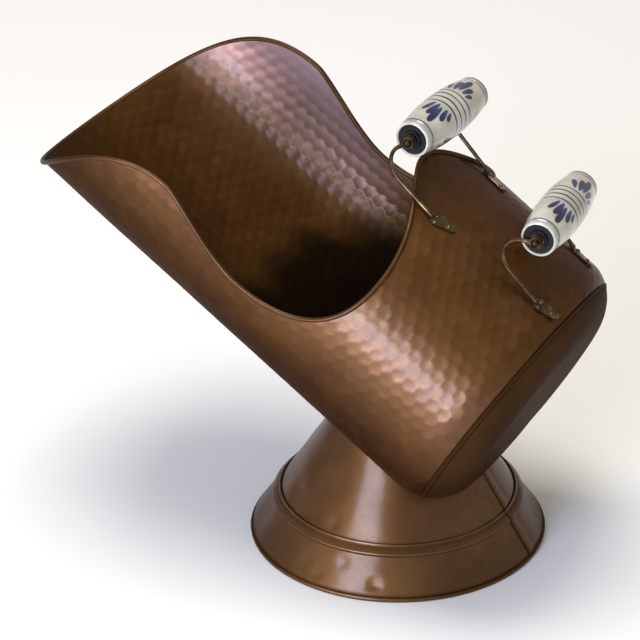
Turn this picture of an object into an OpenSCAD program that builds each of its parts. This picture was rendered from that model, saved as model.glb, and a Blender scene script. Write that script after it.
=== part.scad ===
// Hearth log and coal hod in hammered copper sheet: an oval tube lying back on
// a flared foot, a helmet mouth with a wired edge, two riveted carrying handles.
// Origin at the centre of the foot's base, +Z up, mouth toward -Y.

/* [Tube] */
// width of the oval tube across the X axis
body_w = 254; // [235:1:290]
// height of the oval tube, square to its own axis
body_h = 225; // [200:1:232]
// length of the tube from the back seam to the tip of the lip
body_len = 413.7; // [360:0.1:460]
// rise of the tube's axis above level, toward the mouth
body_rise = 33.9; // [28:0.1:40]
// distance of the back seam's centre behind the foot's centre
seam_back = 103.8; // [90:0.1:120]
// height of the back seam's centre above the floor
seam_up = 154.6; // [145:0.1:175]
// thickness of the copper sheet
sheet = 1.2; // [0.8:0.1:2]
// diameter of the wire rolled into the mouth's edge
rim_wire_d = 4; // [3:0.1:6]

/* [Mouth] */
// crest of the mouth on top of the tube, ahead of the seam
crest_s = 173.5; // [150:0.5:200]
// deepest point of the hood's edge, ahead of the seam
throat_s = 128; // [110:0.5:150]
// height of that deepest point above the tube's axis
throat_t = 62.8; // [40:0.1:80]
// low point of the side edge, ahead of the seam
dip_s = 214; // [195:1:240]
// height of the low point above the tube's axis
dip_t = -8.3; // [-30:0.1:5]
// high point of the lip's side edge, ahead of the seam
shoulder_s = 302.6; // [280:0.1:330]
// height of the high point above the tube's axis
shoulder_t = 16; // [6:0.5:40]
// lean of the edge where it crosses the crest
crest_lean = 13.2; // [5:0.1:40]
// lean of the edge where it rounds the lip's tip
tip_lean = 18.3; // [5:0.1:40]

/* [Back pan] */
// depth of the pan behind the seam
pan_deep = 21; // [16:0.5:28]
// radius that carries the tube round into the pan
turn_r = 42; // [34:1:50]
// lean of the pan away from square to the tube, lower edge outward
pan_lean = 4.3; // [0:0.1:6]
// length of the pan's spigot inside the tube
spigot = 8; // [5:1:14]
// width of the folded edge that laps the seam
fold_w = 3.2; // [2:0.1:6]
// height of the folded edge above the pan
fold_t = 0.7; // [0.4:0.1:1.2]

/* [Foot] */
// radius of the foot over the hem wire
foot_r = 122; // [108:1:140]
// diameter of the hem wire the hod stands on
hem_d = 4.4; // [3:0.1:6]
// radius of the bead where the flare turns in
bead_r = 103.6; // [99.5:0.1:108]
// height of the bead
bead_z = 34; // [30:1:38]
// radius of the socket that takes the cone
socket_r = 97.9; // [92:0.1:98.2]
// height of the socket's upper edge
socket_z = 40.2; // [39:0.1:44]
// loss of radius of the cone for each millimetre of height
cone_slope = 0.64; // [0.6:0.01:0.7]

/* [Handles] */
// length of a porcelain grip
grip_len = 102; // [90:1:110]
// diameter of the grip at the middle
grip_d = 37.8; // [35:0.1:42]
// diameter of the grip's end collars
collar_d = 29; // [28:0.2:34]
// length of an end collar
collar_w = 6; // [4:0.5:9]
// diameter of the black end plugs
plug_d = 24.2; // [21:0.2:24.6]
// diameter of the rod through the grip
rod_d = 5; // [4:0.1:6]
// length of the rod over its peened ends
rod_len = 121; // [118:1:130]
// diameter of the handle wire
wire_d = 3.2; // [2.6:0.1:4]
// gap between the grip's rod and its plugs
run_gap = 0.05; // [0.01:0.01:0.1]
// gap between pieces that lie against each other
seat_gap = 0.1; // [0.05:0.01:0.2]
// end play between a turning plug and its washer
end_play = 0.4; // [0.3:0.05:1]

/* [Front handle] */
// front rod's middle, off the middle plane
front_x = -5; // [-10:0.5:10]
// front rod's distance ahead of the seam
front_s = 181.8; // [175:0.1:190]
// front rod's height above the tube's crest
front_up = 36.3; // [32:0.1:46]
// swing of the front rod out of square, right end toward the mouth
front_swing = 2.1; // [-6:0.1:6]
// tilt of the front rod, right end up
front_tilt = 0.2; // [-6:0.1:6]
// distance between the front palms
front_span = 96.2; // [88:0.1:104]
// right front palm's rivet pair, ahead of the seam
front_palm_s = 130.6; // [125:0.1:136]
// left front palm's place ahead of the right one
front_stagger = -3.6; // [-12:0.1:12]
// turn of the front palms toward the middle
front_yaw = 14; // [0:1:20]
// how far the front bow reaches ahead of the rod
front_bow = 5.6; // [4:0.1:10]
// drop of the front bow's centre under the rod
front_drop = 18.4; // [16:0.1:24]
// radius of the front bow
front_bow_r = 20.2; // [16:0.1:22]

/* [Rear handle] */
// rear rod's middle, off the middle plane
rear_x = -10; // [-12:0.5:10]
// rear rod's distance ahead of the seam
rear_s = 63.4; // [58:0.1:70]
// rear rod's height above the tube's crest
rear_up = 38.8; // [34:0.1:46]
// swing of the rear rod out of square, right end toward the mouth
rear_swing = -4.4; // [-6:0.1:6]
// tilt of the rear rod, right end up
rear_tilt = 4.2; // [-6:0.1:6]
// distance between the rear palms
rear_span = 96; // [88:0.1:104]
// right rear palm's rivet pair, ahead of the seam
rear_palm_s = 26.4; // [25:0.1:32]
// left rear palm's place ahead of the right one
rear_stagger = 10; // [-12:0.1:12]
// turn of the rear palms toward the middle
rear_yaw = 9; // [0:1:20]
// how far the rear bow reaches ahead of the rod
rear_bow = 16.3; // [12:0.1:20]
// drop of the rear bow's centre under the rod
rear_drop = 21.5; // [19:0.1:26]
// radius of the rear bow
rear_bow_r = 18; // [14:0.1:20]

/* [Hidden] */
$fn = 48;

// the oval is four tangent arcs: two side arcs and two flatter ones
half_w = body_w / 2;
half_h = body_h / 2;
side_r = half_h - 0.6 * (half_w - half_h);
side_c = half_w - side_r;
flat_r = (side_c * side_c + half_h * half_h - side_r * side_r) / (2 * (half_h - side_r));
flat_c = flat_r - half_h;
side_turn = atan2(flat_c, side_c);
join_t = side_r * sin(side_turn);

// outward half-width of the oval at height t
function oval_x(t) = abs(t) < join_t
    ? side_c + sqrt(side_r * side_r - t * t)
    : sqrt(max(0, flat_r * flat_r - pow(abs(t) + flat_c, 2)));
// outward normal of the oval at height t, as [x, t]
function oval_n(t) = abs(t) < join_t
    ? [sqrt(1 - pow(t / side_r, 2)), t / side_r]
    : [oval_x(t) / flat_r, sign(t) * (abs(t) + flat_c) / flat_r];

// the mouth's side view: four curves between the crest, the throat, the dip,
// the shoulder and the lip's tip, as [ahead of the seam, above the axis]
s_k = body_len / 413.7;
t_k = body_h / 225;
crest = [crest_s, half_h];
throat = [throat_s, throat_t];
dip = [dip_s, dip_t];
shoulder = [shoulder_s, shoulder_t];
tip = [body_len, -half_h];
crest_dir = [-cos(crest_lean), -sin(crest_lean)];
tip_dir = [sin(tip_lean), -cos(tip_lean)];
down = [0, -t_k];
ahead = [s_k, 0];
function bend(a, b, c, d, u) = a * pow(1 - u, 3) + 3 * b * u * pow(1 - u, 2)
    + 3 * c * u * u * (1 - u) + d * pow(u, 3);
function hood_edge(u) = bend(crest, crest + 33.6 * crest_dir, throat - 25.7 * down, throat, u);
function hollow_edge(u) = bend(throat, throat + 41.2 * down, dip - 49 * ahead, dip, u);
function side_edge(u) = bend(dip, dip + 30.2 * ahead, shoulder - 12.1 * ahead, shoulder, u);
function lip_edge(u) = bend(shoulder, shoulder + 65.7 * ahead, tip - 62.8 * tip_dir, tip, u);
edge_line = concat(
    [for (i = [0 : 15]) hood_edge(pow(i / 16, 2))],
    [for (i = [0 : 15]) hollow_edge(i / 16)],
    [for (i = [0 : 11]) side_edge(i / 12)],
    [for (i = [0 : 26]) lip_edge(1 - pow(1 - i / 26, 2))]);
half_n = len(edge_line) - 1;
loop_n = 2 * half_n;

// wire centre line as a closed loop of [x, t, s], right side first
function on_oval(p, side) = [side * oval_x(p[1]), p[1], p[0]];
function loop_at(i) = let (k = (i + loop_n) % loop_n)
    k <= half_n ? on_oval(edge_line[k], 1) : on_oval(edge_line[loop_n - k], -1);
function unit(v) = v / norm(v);
function loop_dir(i) = unit(loop_at(i + 1) - loop_at(i - 1));
function loop_out(i) = let (k = (i + loop_n) % loop_n,
    side = k <= half_n ? 1 : -1,
    n = oval_n(loop_at(i)[1])) [side * n[0], n[1], 0];
function loop_ahead(i) = unit(cross(loop_dir(i), loop_out(i)));
rim_r = rim_wire_d / 2;
edge_back = rim_r + seat_gap;
// the sheet stops one wire radius and one gap short of the wire's centre
sheet_edge = [for (i = [0 : half_n]) loop_at(i) - edge_back * loop_ahead(i)];

// places round the oval as [arc centre x, arc centre t, arc radius, direction]
function arc_spots(x, t, r, from, turn, steps) = [for (i = [0 : steps - 1])
    [x, t, r, from + turn * i / steps]];
oval_spots = concat(
    arc_spots(side_c, 0, side_r, -side_turn, 2 * side_turn, 20),
    arc_spots(0, -flat_c, flat_r, side_turn, 180 - 2 * side_turn, 22),
    arc_spots(-side_c, 0, side_r, 180 - side_turn, 2 * side_turn, 20),
    arc_spots(0, flat_c, flat_r, 180 + side_turn, 180 - 2 * side_turn, 22));

// the back is drawn round on one radius, from the straight tube past the seam to
// the flat of the pan; sections are listed as [inset from the oval, ahead of the seam]
turn_s = turn_r - pan_deep;
seam_turn = asin(turn_s / turn_r);
seam_s = -seat_gap;
spigot_r = turn_r - sheet - 2 * seat_gap;
fold_turn = asin((turn_s - seam_s + fold_w) / turn_r);
spigot_turn = asin((turn_s - spigot) / spigot_r);
function on_turn(r, a) = [turn_r - r * cos(a), turn_s - r * sin(a)];
function sweep(r, a, b, n) = [for (i = [0 : n - 1]) on_turn(r, a + (b - a) * i / (n - 1))];
function inset_at(v) = turn_r - sqrt(turn_r * turn_r - pow(turn_s - v, 2));
spigot_in = sheet + 2 * seat_gap;
pan_rings = concat(
    sweep(turn_r, 90, fold_turn, 10),
    [[inset_at(seam_s - fold_w) - fold_t + 0.25, seam_s - fold_w],
     [inset_at(seam_s - fold_w) - fold_t - 0.1, seam_s - fold_w + 0.3],
     [inset_at(seam_s) - fold_t + 0.1, seam_s - 0.4],
     [inset_at(seam_s) - fold_t + 0.3, seam_s],
     [inset_at(seam_s) + spigot_in, seam_s]],
    sweep(spigot_r, seam_turn + 0.5, spigot_turn, 3),
    sweep(spigot_r - sheet, spigot_turn, seam_turn, 3),
    sweep(turn_r - sheet, seam_turn + 2.5, 90, 8));
// the tube's own drawn-in end; it reaches into the straight wall by the tongue
tongue = 0.3;
end_rings = concat(
    sweep(turn_r, seam_turn, 4, 5),
    [[0.25, turn_s + tongue], [sheet - 0.2, turn_s + tongue]],
    sweep(turn_r - sheet, 4, seam_turn, 5));
// the closed outside of that end, grown by g
function room_rings(g) = let (r = (turn_r + g) / cos(3.1)) concat(
    sweep(r, 90, fold_turn + 1, 10),
    [[inset_at(seam_s - fold_w) - fold_t - 0.2 - g, seam_s - fold_w - g],
     [inset_at(0) - fold_t - 0.2 - g, g]],
    sweep(r, seam_turn - 1, 4, 5),
    [[0.03 - g, turn_s], [1, turn_s + 0.5]]);
// a section point carried to a place on the oval, and leaned with the pan
function at_spot(spot, ring) = let (
    out = spot[2] - ring[0],
    t = spot[1] + out * sin(spot[3]),
    ease = max(0, turn_s - ring[1]) / turn_r)
    [spot[0] + out * cos(spot[3]), t, ring[1] + tan(pan_lean) * t * ease];

// foot sizes
hem_r = hem_d / 2;
cone_seat_r = socket_r - sheet - seat_gap;
cone_seat_z = socket_z - 1.6;
cone_top_z = 128;
cone_wall = sheet * sqrt(1 + cone_slope * cone_slope);
function cone_r(z) = cone_seat_r - cone_slope * (z - cone_seat_z);
lap_w = 4;
lap_t = 0.8;
cone_lap_at = 91;
flare_lap_at = 90;

// handle sizes
eye_t = 2.6;
eye_r = 4.4;
strap_t = 2;
strap_from = 3.6;
sunk = 0.15;
rod_r = rod_d / 2;
wire_r = wire_d / 2;
washer_t = 1.5;
washer_r = 6;
plug_in = 7;
plug_sunk = 1;
hub_r = 7.4;
plug_face = grip_len / 2 - plug_sunk;
hub_face = plug_face + 2.2;
washer_x = hub_face + end_play;
eye_x = washer_x + washer_t + seat_gap + eye_t / 2;
head_x = eye_x + eye_t / 2 + seat_gap;
palm_t = 1.4;
palm_big = 5.4;
palm_small = 3.3;
palm_long = 14.5;
neck_long = 4.4;
swell = 0.15;
rivet_r = 1.15;
rivet_head_r = 1.8;
rivet_pair = 2.8;
rivet_step = 11.5;

// a rod as [x, ahead, above the axis, swing, tilt, bow radius, bow, drop]
front = [front_x, front_s, half_h + front_up, -front_swing, front_tilt,
         front_bow_r, front_bow, front_drop];
rear = [rear_x, rear_s, half_h + rear_up, -rear_swing, rear_tilt,
        rear_bow_r, rear_bow, rear_drop];
// palms as [x, ahead, turn]: front right and left, rear right and left
palms = [[front_x + front_span / 2, front_palm_s, front_yaw],
         [front_x - front_span / 2, front_palm_s + front_stagger, -front_yaw],
         [rear_x + rear_span / 2, rear_palm_s, rear_yaw],
         [rear_x - rear_span / 2, rear_palm_s + rear_stagger, -rear_yaw]];

copper = [0.50, 0.29, 0.18];
aged = [0.42, 0.25, 0.15];
bronze = [0.47, 0.39, 0.22];
porcelain = [0.86, 0.87, 0.84];
black = [0.08, 0.08, 0.09];

// how far the drawn-in end's inner face is under the straight wall's, below the crest
function drawn_in(s) = let (
    k = tan(pan_lean) * half_h / turn_r,
    back = max(0, turn_s - (s - k * turn_s) / (1 - k)),
    r = turn_r - sheet)
    r - sqrt(max(1, r * r - back * back));

// puts the tube's own frame in place: X across, Y away from the foot, Z to the mouth
module in_tube() {
    translate([0, seam_back, seam_up])
        rotate([90 - body_rise, 0, 0])
            children();
}

// the oval outline, grown outward by g
module oval(g) {
    join_x = (flat_r + g) * cos(side_turn);
    for (side = [-1, 1])
        translate([side * side_c, 0])
            circle(r = side_r + g, $fn = 96);
    intersection() {
        translate([0, -flat_c])
            circle(r = flat_r + g, $fn = 96);
        translate([0, flat_c])
            circle(r = flat_r + g, $fn = 96);
        square([2 * join_x, 2 * body_h], center = true);
    }
}

// the solid between sections carried round the oval; closed joins last to first
module oval_loft(rings, closed) {
    n = len(oval_spots);
    m = len(rings);
    points = [for (ring = rings) for (spot = oval_spots) at_spot(spot, ring)];
    walls = [for (j = [0 : m - (closed ? 1 : 2)]) for (i = [0 : n - 1])
        let (k = (i + 1) % n, l = (j + 1) % m)
        [j * n + i, l * n + i, l * n + k, j * n + k]];
    ends = [[for (i = [0 : n - 1]) i], [for (i = [n - 1 : -1 : 0]) (m - 1) * n + i]];
    polyhedron(points = points, faces = closed ? walls : concat(walls, ends), convexity = 6);
}

// everything behind the mouth's edge, drawn from the side
module behind_edge() {
    out = half_h + 20;
    rotate([90, 0, 90])
        linear_extrude(height = body_w + 40, center = true)
            polygon(concat(
                [[-out, -20], [out, -20], [out, sheet_edge[0][2]]],
                [for (p = sheet_edge) [p[1], p[2]]],
                [[-out, sheet_edge[half_n][2]]]));
}

// each rivet's spot, square to the sheet
module rivet_spots() {
    for (p = palms)
        on_palm(p)
            for (q = [[-rivet_pair, 0], [rivet_pair, 0], [0, -rivet_step]]) {
                $spot_s = p[1] + q[1] * cos(p[2]) - q[0] * sin(p[2]);
                translate([q[0], 0, q[1]])
                    rotate([-90, 0, 0])
                        children();
            }
}

// frame on the tube's skin at a palm: Y out of the skin, Z along the palm
module on_palm(p) {
    translate([0, -flat_c, 0])
        rotate([0, 0, -asin(p[0] / flat_r)])
            translate([0, flat_r, p[1]])
                rotate([0, p[2], 0])
                    children();
}

// hammered oval tube, open at the mouth and drawn in a little at the back seam
module body_shell() {
    color(copper)
        in_tube()
            difference() {
                union() {
                    intersection() {
                        difference() {
                            translate([0, 0, turn_s])
                                linear_extrude(height = body_len)
                                    oval(0);
                            linear_extrude(height = 2 * body_len)
                                oval(-sheet);
                        }
                        behind_edge();
                    }
                    oval_loft(end_rings, true);
                }
                rivet_spots()
                    translate([0, 0, -4])
                        cylinder(r = rivet_r + seat_gap, h = 8, $fn = 24);
            }
}

// round wire that stiffens the mouth, bent to the curve of the edge
module rim_wire() {
    sides = 12;
    rings = [for (i = [0 : loop_n - 1]) let (c = loop_at(i), a = loop_ahead(i), n = loop_out(i))
        for (j = [0 : sides - 1]) let (w = 360 * j / sides)
            c + rim_r * (cos(w) * n + sin(w) * a)];
    quads = [for (i = [0 : loop_n - 1]) let (k = (i + 1) % loop_n)
        for (j = [0 : sides - 1]) let (l = (j + 1) % sides)
            [i * sides + j, i * sides + l, k * sides + l, k * sides + j]];
    color(copper)
        in_tube()
            polyhedron(points = rings, faces = quads, convexity = 6);
}

// dished back of the tube with its folded seam and a spigot inside the tube
module back_pan() {
    color(aged)
        in_tube()
            oval_loft(pan_rings, false);
}

// room taken by the closed tube and its pan, grown by g
module tube_room(g) {
    in_tube() {
        translate([0, 0, turn_s])
            linear_extrude(height = body_len)
                oval(g);
        oval_loft(room_rings(g), false);
    }
}

// upper part of the foot, trimmed to the tube it carries
module foot_cone() {
    color(aged)
        difference() {
            union() {
                rotate_extrude($fn = 96)
                    polygon([
                        [cone_seat_r - sheet, bead_z + 1],
                        [cone_seat_r, bead_z + 1],
                        [cone_seat_r, cone_seat_z],
                        [cone_r(cone_top_z), cone_top_z],
                        [cone_r(cone_top_z) - cone_wall, cone_top_z],
                        [cone_seat_r - cone_wall, cone_seat_z]]);
                rotate([0, 0, cone_lap_at])
                    rotate_extrude(angle = 2.6, $fn = 96)
                        polygon([
                            [cone_r(socket_z + 1) - 0.5, socket_z + 1],
                            [cone_r(socket_z + 1) + lap_t, socket_z + 1],
                            [cone_r(90) + lap_t, 90],
                            [cone_r(90) - 0.5, 90]]);
            }
            tube_room(seat_gap);
        }
}

// lower flare of the foot with its bead and the socket for the cone
module foot_flare() {
    top_z = hem_d + seat_gap;
    low_r = foot_r - hem_r - sheet / 2;
    color(aged)
        union() {
            rotate_extrude($fn = 96)
                polygon([
                    [low_r, top_z],
                    [low_r + sheet, top_z],
                    [bead_r - 0.8, bead_z - 3],
                    [bead_r, bead_z - 1],
                    [bead_r - 0.6, bead_z + 1],
                    [bead_r - 2.4, bead_z + 2.4],
                    [socket_r + 0.6, socket_z - 1.8],
                    [socket_r, socket_z - 0.8],
                    [socket_r, socket_z],
                    [socket_r - sheet, socket_z],
                    [socket_r - sheet, socket_z - 2.4],
                    [bead_r - 3.4, bead_z + 0.9],
                    [bead_r - 2.2, bead_z - 1.4],
                    [bead_r - 2.3, bead_z - 3]]);
            rotate([0, 0, flare_lap_at])
                rotate_extrude(angle = 2.2, $fn = 96)
                    polygon([
                        [low_r + 0.5, top_z],
                        [low_r + sheet + lap_t, top_z],
                        [bead_r - 0.8 + lap_t, bead_z - 3],
                        [bead_r - 1.6, bead_z - 3]]);
        }
}

// wire in the foot's hem, the ring the hod stands on
module foot_hem() {
    flat = 0.3;
    color(aged)
        rotate_extrude($fn = 96)
            intersection() {
                translate([foot_r - hem_r, hem_r - flat])
                    circle(r = hem_r, $fn = 32);
                translate([foot_r - hem_d, 0])
                    square(2 * hem_d);
            }
}

// round-headed rivets through the palms and the tube, three to a palm
module handle_rivets() {
    color(bronze)
        in_tube()
            rivet_spots() {
                top = seat_gap + palm_t + seat_gap / 2;
                translate([0, 0, -sheet - 0.9 - drawn_in($spot_s - rivet_head_r)])
                    cylinder(r = rivet_r, $fn = 24,
                             h = sheet + 1.1 + top + drawn_in($spot_s - rivet_head_r));
                translate([0, 0, -sheet - seat_gap - 0.8 - drawn_in($spot_s - rivet_head_r)])
                    cylinder(r = rivet_head_r, h = 0.8, $fn = 24);
                translate([0, 0, top])
                    intersection() {
                        translate([0, 0, -0.6])
                            sphere(r = rivet_head_r + 0.15, $fn = 24);
                        cylinder(r = rivet_head_r, h = 3, $fn = 24);
                    }
            }
}

// frame of a handle rod: the rod's middle, X along the rod
module on_rod(rod) {
    translate([rod[0], rod[2], rod[1]])
        rotate([0, rod[3], rod[4]])
            children();
}

module at_rod(rod) {
    in_tube()
        on_rod(rod)
            children();
}

// a point of the tube's frame seen from a rod's right or left end
function from_rod(p, rod, side) = let (
    d = p - [rod[0], rod[2], rod[1]],
    u = d[0] * cos(rod[4]) + d[1] * sin(rod[4]),
    v = d[1] * cos(rod[4]) - d[0] * sin(rod[4]))
    [side * (u * cos(rod[3]) - d[2] * sin(rod[3])), v, u * sin(rod[3]) + d[2] * cos(rod[3])];

// washer between each plug and its wire eye
module washer() {
    difference() {
        translate([washer_x, 0, 0])
            rotate([0, 90, 0])
                cylinder(r = washer_r, h = washer_t);
        translate([washer_x - 1, 0, 0])
            rotate([0, 90, 0])
                cylinder(r = rod_r + seat_gap, h = washer_t + 2);
    }
}

module rod_washers() {
    color(bronze)
        for (rod = [front, rear])
            at_rod(rod)
                for (m = [0, 1])
                    mirror([m, 0, 0])
                        washer();
}

// rod with a peened round head outside each eye
module rod() {
    translate([-rod_len / 2 + 2, 0, 0])
        rotate([0, 90, 0])
            cylinder(r = rod_r, h = rod_len - 4);
    for (m = [0, 1])
        mirror([m, 0, 0])
            translate([head_x, 0, 0])
                rotate([0, 90, 0])
                    intersection() {
                        cylinder(r = rod_r + 1.2, h = rod_len / 2 - head_x);
                        translate([0, 0, rod_len / 2 - head_x - rod_r - 1.6])
                            sphere(r = rod_r + 1.6);
                    }
}

// porcelain grip: a barrel between two collars, bored through
module grip() {
    half = grip_len / 2;
    mid_r = grip_d / 2;
    end_r = collar_d / 2;
    reach = half - collar_w;
    drop = mid_r - end_r - 0.4;
    arc = (reach * reach + drop * drop) / (2 * drop);
    rotate([0, 90, 0])
        rotate_extrude()
            difference() {
                union() {
                    intersection() {
                        translate([mid_r - arc, 0])
                            circle(r = arc, $fn = 720);
                        translate([0, -reach])
                            square([mid_r + 1, 2 * reach]);
                    }
                    polygon([
                        [0, -half],
                        [end_r - 1.6, -half],
                        [end_r - 0.5, -half + 0.5],
                        [end_r, -half + 1.6],
                        [end_r, -reach - 1.6],
                        [end_r - 0.7, -reach - 0.8],
                        [end_r - 0.7, reach + 0.8],
                        [end_r, reach + 1.6],
                        [end_r, half - 1.6],
                        [end_r - 0.5, half - 0.5],
                        [end_r - 1.6, half],
                        [0, half]]);
                }
                translate([-1, -half - 1])
                    square([7, grip_len + 2]);
                for (m = [0, 1])
                    mirror([0, m])
                        translate([-1, half - plug_sunk - plug_in - seat_gap])
                            square([plug_d / 2 + 1 + seat_gap, plug_in + 3]);
            }
}

// black plug that centres the grip on its rod
module plug(side) {
    mirror([side < 0 ? 1 : 0, 0, 0])
        difference() {
            union() {
                translate([plug_face - plug_in, 0, 0])
                    rotate([0, 90, 0])
                        cylinder(r = plug_d / 2, h = plug_in);
                translate([plug_face - 1, 0, 0])
                    rotate([0, 90, 0])
                        cylinder(r1 = hub_r + 1, r2 = hub_r, h = hub_face - plug_face + 1);
            }
            translate([plug_face - plug_in - 1, 0, 0])
                rotate([0, 90, 0])
                    cylinder(r = rod_r + run_gap, h = plug_in + 6);
        }
}

// two circles d apart with the straight sides that touch both
module leaf(r_a, r_b, d) {
    w = acos((r_a - r_b) / d);
    circle(r = r_a, $fn = 32);
    translate([0, d])
        circle(r = r_b, $fn = 32);
    polygon([
        [r_a * sin(w), r_a * cos(w)],
        [r_b * sin(w), d + r_b * cos(w)],
        [-r_b * sin(w), d + r_b * cos(w)],
        [-r_a * sin(w), r_a * cos(w)]]);
}

// straight length of handle wire from a to b in the bow's plane
module wire_run(a, b) {
    translate([a[0], a[1], 0])
        rotate([0, 0, atan2(b[1] - a[1], b[0] - a[0])])
            rotate([0, 90, 0])
                cylinder(r = wire_r, h = norm(b - a), $fn = 32);
}

// slightly swollen ball where two runs of wire meet, its poles along the wire
// and its seam out of the bow's plane
module joint_ball(at, way) {
    translate([at[0], at[1], 0])
        rotate([0, 0, atan2(way[1], way[0])])
            rotate([0, 90, 0])
                rotate(90)
                    sphere(r = wire_r + swell, $fn = 32);
}

// wire arm: eye on the rod, flattened strap, bow, straight run and riveted palm.
// The bow's plane leans from the palm to a line just outside the eye, which
// keeps the strap clear of the washer.
module arm(rod, side, palm) {
    roll = asin(palm[0] / flat_r);
    skin = [palm[0], flat_r * cos(roll) - flat_c, palm[1]];
    lift = wire_r + swell + seat_gap;
    foot = from_rod(skin
        + neck_long * [sin(palm[2]) * cos(roll), -sin(palm[2]) * sin(roll), cos(palm[2])]
        + lift * [sin(roll), cos(roll), 0], rod, side);
    plane_x = eye_x + (eye_t - strap_t) / 2 - sunk
        + strap_from * sin(atan2(eye_x - foot[0], -foot[1]));
    lean = atan2(plane_x - foot[0], -foot[1]);
    foot_uv = [foot[2], -norm([plane_x - foot[0], foot[1]])];
    bow_r = rod[5];
    mid = [rod[6] - bow_r, -rod[7]];
    up_turn = atan2(-mid[1], -mid[0]) - acos(bow_r / norm(mid));
    low_turn = atan2(foot_uv[1] - mid[1], foot_uv[0] - mid[0]) + acos(bow_r / norm(foot_uv - mid));
    up_at = mid + bow_r * [cos(up_turn), sin(up_turn)];
    low_at = mid + bow_r * [cos(low_turn), sin(low_turn)];
    strap = norm(up_at);
    color(bronze)
        in_tube()
            difference() {
                union() {
                    on_rod(rod)
                        mirror([side < 0 ? 1 : 0, 0, 0]) {
                            translate([eye_x - eye_t / 2, 0, 0])
                                rotate([0, 90, 0])
                                    cylinder(r = eye_r, h = eye_t, $fn = 48);
                            translate([plane_x, 0, 0])
                                rotate([0, -90, -lean]) {
                                    translate([0, 0, -strap_t / 2])
                                        linear_extrude(height = strap_t)
                                            rotate(atan2(up_at[1], up_at[0]))
                                                polygon([
                                                    [strap_from, -2.4],
                                                    [strap_from, 2.4],
                                                    [strap, 0.9],
                                                    [strap, -0.9]]);
                                    wire_run(up_at * 0.6, up_at);
                                    translate([mid[0], mid[1], 0])
                                        rotate([0, 0, low_turn])
                                            rotate_extrude(angle = up_turn - low_turn, $fn = 96)
                                                translate([bow_r, 0])
                                                    circle(r = wire_r, $fn = 32);
                                    wire_run(low_at, foot_uv);
                                    joint_ball(up_at, up_at);
                                    joint_ball(low_at, foot_uv - low_at);
                                    joint_ball(foot_uv, foot_uv - low_at);
                                }
                        }
                    on_palm(palm)
                        translate([0, seat_gap, 0])
                            rotate([-90, 0, 0])
                                linear_extrude(height = palm_t) {
                                    leaf(palm_big, palm_small, palm_long);
                                    mirror([0, 1])
                                        leaf(palm_big - 1, wire_r, neck_long + 1.6);
                                }
                }
                on_rod(rod)
                    translate([side * eye_x - eye_t, 0, 0])
                        rotate([0, 90, 0])
                            cylinder(r = rod_r + seat_gap, h = 2 * eye_t, $fn = 48);
                on_palm(palm)
                    for (q = [[-rivet_pair, 0], [rivet_pair, 0], [0, -rivet_step]])
                        translate([q[0], 0, q[1]])
                            rotate([-90, 0, 0])
                                cylinder(r = rivet_r + seat_gap, h = 8, center = true, $fn = 24);
            }
}

module front_rod() {
    color(bronze)
        at_rod(front)
            rod();
}

module front_grip() {
    color(porcelain)
        at_rod(front)
            grip();
}

module front_plug_right() {
    color(black)
        at_rod(front)
            plug(1);
}

module front_plug_left() {
    color(black)
        at_rod(front)
            plug(-1);
}

module front_arm_right() {
    arm(front, 1, palms[0]);
}

module front_arm_left() {
    arm(front, -1, palms[1]);
}

module rear_rod() {
    color(bronze)
        at_rod(rear)
            rod();
}

module rear_grip() {
    color(porcelain)
        at_rod(rear)
            grip();
}

module rear_plug_right() {
    color(black)
        at_rod(rear)
            plug(1);
}

module rear_plug_left() {
    color(black)
        at_rod(rear)
            plug(-1);
}

module rear_arm_right() {
    arm(rear, 1, palms[2]);
}

module rear_arm_left() {
    arm(rear, -1, palms[3]);
}

body_shell();
rim_wire();
back_pan();
foot_cone();
foot_flare();
foot_hem();
handle_rivets();
rod_washers();
front_rod();
front_grip();
front_plug_right();
front_plug_left();
front_arm_right();
front_arm_left();
rear_rod();
rear_grip();
rear_plug_right();
rear_plug_left();
rear_arm_right();
rear_arm_left();
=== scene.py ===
import math
import bpy
import numpy as np
from mathutils import Matrix


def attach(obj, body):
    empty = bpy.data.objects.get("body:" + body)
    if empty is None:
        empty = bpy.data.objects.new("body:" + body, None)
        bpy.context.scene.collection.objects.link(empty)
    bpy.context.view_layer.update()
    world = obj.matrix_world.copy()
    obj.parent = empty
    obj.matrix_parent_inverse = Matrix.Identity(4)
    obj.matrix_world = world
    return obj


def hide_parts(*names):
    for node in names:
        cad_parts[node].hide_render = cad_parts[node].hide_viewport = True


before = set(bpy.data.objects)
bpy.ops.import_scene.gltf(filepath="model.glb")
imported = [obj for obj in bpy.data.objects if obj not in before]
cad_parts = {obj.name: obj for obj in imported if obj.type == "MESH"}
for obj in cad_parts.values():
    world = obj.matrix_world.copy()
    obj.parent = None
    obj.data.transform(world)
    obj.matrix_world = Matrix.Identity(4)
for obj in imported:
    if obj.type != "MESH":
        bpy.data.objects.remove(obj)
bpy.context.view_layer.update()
print("frame loaded:", len(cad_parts), "nodes")

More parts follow.
